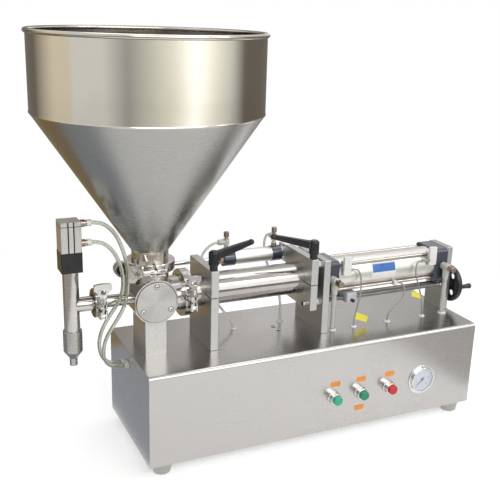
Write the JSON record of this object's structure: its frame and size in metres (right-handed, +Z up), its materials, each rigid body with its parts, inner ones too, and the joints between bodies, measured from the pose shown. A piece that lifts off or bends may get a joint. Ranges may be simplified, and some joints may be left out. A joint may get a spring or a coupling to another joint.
{
  "type": "piston filler",
  "caption": "Bench-top pneumatic piston filler: cone hopper over a three-way valve, clamped filling cylinder, air cylinder and shut-off nozzle on a stainless base.",
  "frame": {"origin": "centre of the assembly's bounding box at the level of the feet's undersides", "axes": "+X along the machine from the nozzle end to the handwheel end, +Y away from the front panel, +Z up"},
  "size_m": [1.0247, 0.461, 0.878],
  "materials": {
    "stainless_sheet": "brushed stainless sheet",
    "stainless_machined": "machined stainless, fine tool marks",
    "stainless_polished": "polished stainless",
    "stainless_cast": "cast and tumbled stainless",
    "anodised_silver": "silver anodised",
    "zinc_steel": "plated and ground steel",
    "moulded_black": "moulded, lightly grained",
    "moulded_white": "moulded, smooth",
    "moulded_grey": "moulded, smooth",
    "anodised_navy": "dark anodised",
    "seal_white": "turned, smooth",
    "chrome_ring": "bright plated",
    "button_green": "gloss",
    "button_red": "gloss",
    "needle_black": "matt",
    "enclosure_grey": "moulded",
    "hose_clear": "translucent",
    "tube_milky": "translucent",
    "wire_grey": "cable sheath"
  },
  "bodies": {
    "frame": {"base_housing": "stainless_sheet", "bottom_plate": "stainless_sheet", "levelling_feet": "stainless_polished", "deck_grommets": "moulded_white", "pedestal_blocks": "stainless_machined", "valve_body": "stainless_polished", "valve_covers": "stainless_machined", "button_screws": "chrome_ring", "valve_cylinder": "anodised_silver", "cylinder_bracket": "zinc_steel", "flow_controls": "zinc_steel", "ferrule_clamps": "stainless_cast", "clamp_seals": "seal_white", "hopper": "stainless_sheet", "filling_cylinder": "stainless_polished", "clamp_plate_left": "stainless_machined", "clamp_plate_middle": "stainless_machined", "mount_plate": "stainless_machined", "joining_screws": "stainless_machined", "air_cylinder_caps": "anodised_navy", "air_barrel": "anodised_silver", "cylinder_rods": "zinc_steel", "end_plate": "stainless_machined", "sensors": "moulded_white", "air_fittings": "moulded_grey", "nozzle_body": "stainless_polished", "nozzle_tip": "stainless_machined", "nozzle_adapter": "moulded_black", "nozzle_cylinder": "anodised_silver", "button_bezels": "chrome_ring", "pressure_gauge": "chrome_ring", "control_units": "enclosure_grey", "hose_upper": "hose_clear", "hose_lower": "hose_clear", "tube_valve_left": "tube_milky", "tube_valve_right": "tube_milky", "tube_main_left": "tube_milky", "tube_main_right": "tube_milky", "sensor_wire_left": "wire_grey", "sensor_wire_right": "wire_grey", "sensor_wire_lower": "wire_grey"},
    "piston": {"filling_piston": "seal_white", "piston_rod": "zinc_steel"},
    "valve_rotor": {"valve_rotor": "stainless_machined", "crank_arm": "stainless_machined"},
    "valve_rod": {"valve_cylinder_rod": "zinc_steel"},
    "nozzle_plunger": {"nozzle_plunger": "zinc_steel"},
    "stroke_wheel": {"handwheel": "moulded_black", "lead_screw": "zinc_steel"},
    "wheel_grip": {"handwheel_grip": "moulded_black"},
    "travel_block": {"travel_block": "moulded_white"},
    "lever_left": {"lever_left": "moulded_black"},
    "lever_right": {"lever_right": "moulded_black"},
    "hopper_wing_nut": {"hopper_wing_nut": "stainless_cast"},
    "cylinder_wing_nut": {"cylinder_wing_nut": "stainless_cast"},
    "nozzle_wing_nut": {"nozzle_wing_nut": "stainless_cast"},
    "button_left": {"button_left": "button_green"},
    "button_middle": {"button_middle": "button_green"},
    "button_right": {"button_right": "button_red"},
    "gauge_needle": {"gauge_needle": "needle_black"}
  },
  "joints": [
    {"name": "piston_stroke", "type": "slide", "parent": "frame", "child": "piston", "axis": [1, 0, 0], "range_m": [0, 0.17]},
    {"name": "valve_turn", "type": "hinge", "parent": "frame", "child": "valve_rotor", "pos_m": [-0.283, 0, 0.344], "axis": [0, 1, 0], "range_deg": [0, 90]},
    {"name": "valve_rod_stroke", "type": "slide", "parent": "frame", "child": "valve_rod", "axis": [1, 0, 0], "range_m": [0, 0.075]},
    {"name": "nozzle_plunger_lift", "type": "slide", "parent": "frame", "child": "nozzle_plunger", "axis": [0, 0, 1], "range_m": [0, 0.012]},
    {"name": "handwheel_turn", "type": "hinge", "parent": "frame", "child": "stroke_wheel", "pos_m": [0.458, -0.022, 0.289], "axis": [1, 0, 0], "range_deg": [-3600, 10800]},
    {"name": "grip_spin", "type": "hinge", "parent": "stroke_wheel", "child": "wheel_grip", "pos_m": [0.49, -0.058, 0.289], "axis": [1, 0, 0], "continuous": true},
    {"name": "travel_block_slide", "type": "slide", "parent": "frame", "child": "travel_block", "axis": [1, 0, 0], "range_m": [-0.0401, 0.1201]},
    {"name": "lever_left_turn", "type": "hinge", "parent": "frame", "child": "lever_left", "pos_m": [-0.16325, -0.052, 0.42], "axis": [0, 0, 1], "range_deg": [-60, 90]},
    {"name": "lever_right_turn", "type": "hinge", "parent": "frame", "child": "lever_right", "pos_m": [0.07175, -0.052, 0.42], "axis": [0, 0, 1], "range_deg": [-90, 60]},
    {"name": "hopper_wing_nut_turn", "type": "hinge", "parent": "frame", "child": "hopper_wing_nut", "pos_m": [-0.29184, -0.06288, 0.416], "axis": [-0.9903, 0.1392, 0], "range_deg": [-360, 720]},
    {"name": "cylinder_wing_nut_turn", "type": "hinge", "parent": "frame", "child": "cylinder_wing_nut", "pos_m": [-0.211, -0.0635, 0.374], "axis": [0, 0, 1], "range_deg": [-360, 720]},
    {"name": "nozzle_wing_nut_turn", "type": "hinge", "parent": "frame", "child": "nozzle_wing_nut", "pos_m": [-0.394, -0.0432, 0.369], "axis": [0, 0, 1], "range_deg": [-360, 720]},
    {"name": "button_left_press", "type": "slide", "parent": "frame", "child": "button_left", "axis": [0, 1, 0], "range_m": [0, 0.004], "stiffness_N_per_m": 600},
    {"name": "button_middle_press", "type": "slide", "parent": "frame", "child": "button_middle", "axis": [0, 1, 0], "range_m": [0, 0.004], "stiffness_N_per_m": 600},
    {"name": "button_right_press", "type": "slide", "parent": "frame", "child": "button_right", "axis": [0, 1, 0], "range_m": [0, 0.004], "stiffness_N_per_m": 600},
    {"name": "gauge_needle_swing", "type": "hinge", "parent": "frame", "child": "gauge_needle", "pos_m": [0.325, -0.144, 0.11], "axis": [0, 1, 0], "range_deg": [0, 270]}
  ],
  "couplings": [
    {"joint": "valve_rod_stroke", "follows": "valve_turn", "m_per_rad": 0.047746},
    {"joint": "travel_block_slide", "follows": "handwheel_turn", "m_per_rad": 0.00063662}
  ]
}
